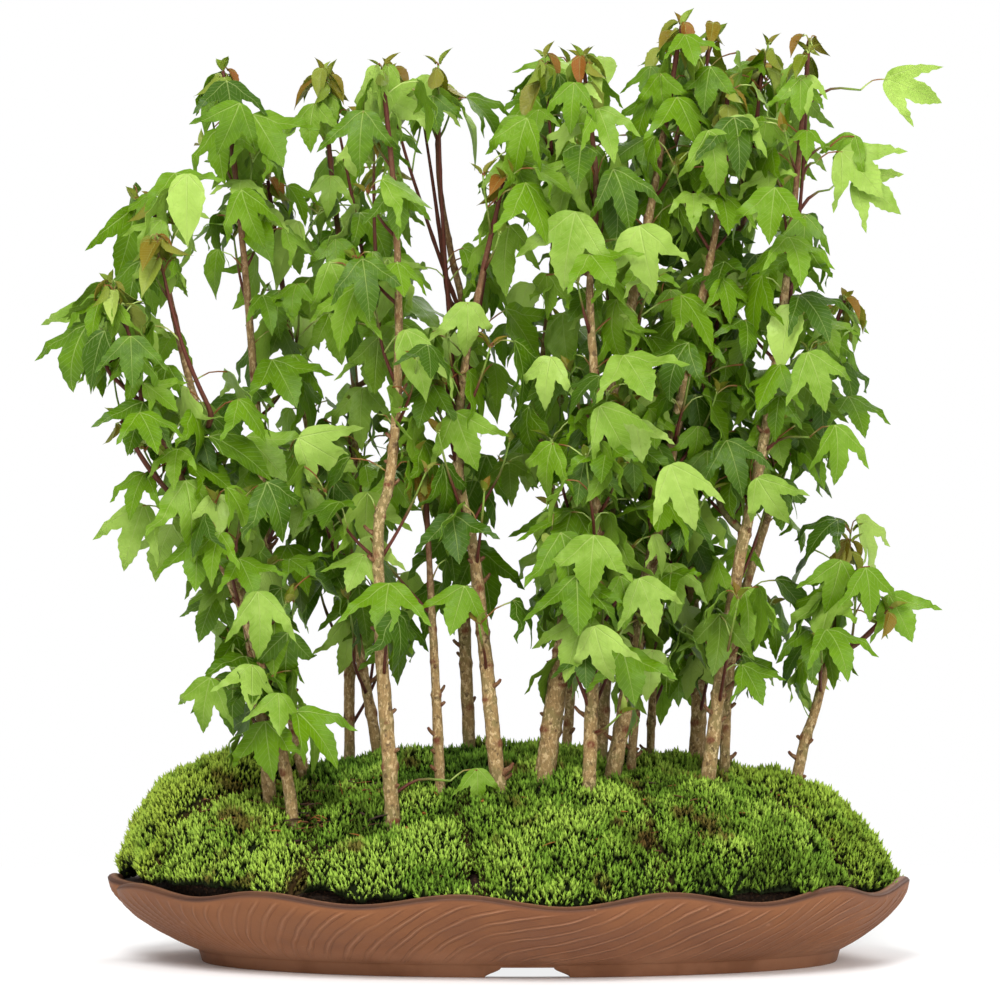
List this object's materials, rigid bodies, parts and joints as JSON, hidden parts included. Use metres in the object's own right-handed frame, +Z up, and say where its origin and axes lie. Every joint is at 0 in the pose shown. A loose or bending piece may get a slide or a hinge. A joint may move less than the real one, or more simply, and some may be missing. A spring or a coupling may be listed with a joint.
{
  "type": "bonsai forest planting in a tray",
  "caption": "Bonsai forest of slender young trident maples in full leaf, planted close together on a mossy mound in a long, low, wavy-rimmed clay tray.",
  "frame": {"origin": "middle of the whole in plan, at the shelf that the foot ring stands on", "axes": "+X along the tray to the right as seen from the front, -Y the front, +Z up"},
  "size_m": [0.4805, 0.2885, 0.5347],
  "materials": {
    "fired_clay": "matte",
    "mesh_plastic": "matte",
    "copper_wire": "satin",
    "grit": "rough",
    "soil": "rough",
    "moss": "rough",
    "bark": "rough",
    "leaf": "satin"
  },
  "bodies": {
    "root": {"crown_01": "leaf", "crown_02": "leaf", "crown_03": "leaf", "crown_04": "leaf", "crown_05": "leaf", "crown_06": "leaf", "crown_07": "leaf", "crown_08": "leaf", "crown_09": "leaf", "crown_10": "leaf", "crown_11": "leaf", "crown_12": "leaf", "crown_13": "leaf", "crown_14": "leaf", "crown_15": "leaf", "crown_16": "leaf", "crown_17": "leaf", "crown_18": "leaf", "crown_19": "leaf", "crown_20": "leaf", "drain_screen_left": "mesh_plastic", "drain_screen_right": "mesh_plastic", "drainage_grit": "grit", "moss_back_centre": "moss", "moss_back_left": "moss", "moss_back_right": "moss", "moss_centre_front": "moss", "moss_centre_left": "moss", "moss_front_left": "moss", "moss_front_tuft": "moss", "moss_left_end": "moss", "moss_left_front": "moss", "moss_right_end": "moss", "moss_right_front": "moss", "screen_clip_left": "copper_wire", "screen_clip_right": "copper_wire", "soil": "soil", "tray": "fired_clay", "trunk_01": "bark", "trunk_02": "bark", "trunk_03": "bark", "trunk_04": "bark", "trunk_05": "bark", "trunk_06": "bark", "trunk_07": "bark", "trunk_08": "bark", "trunk_09": "bark", "trunk_10": "bark", "trunk_11": "bark", "trunk_12": "bark", "trunk_13": "bark", "trunk_14": "bark", "trunk_15": "bark", "trunk_16": "bark", "trunk_17": "bark", "trunk_18": "bark", "trunk_19": "bark", "trunk_20": "bark"}
  },
  "joints": []
}
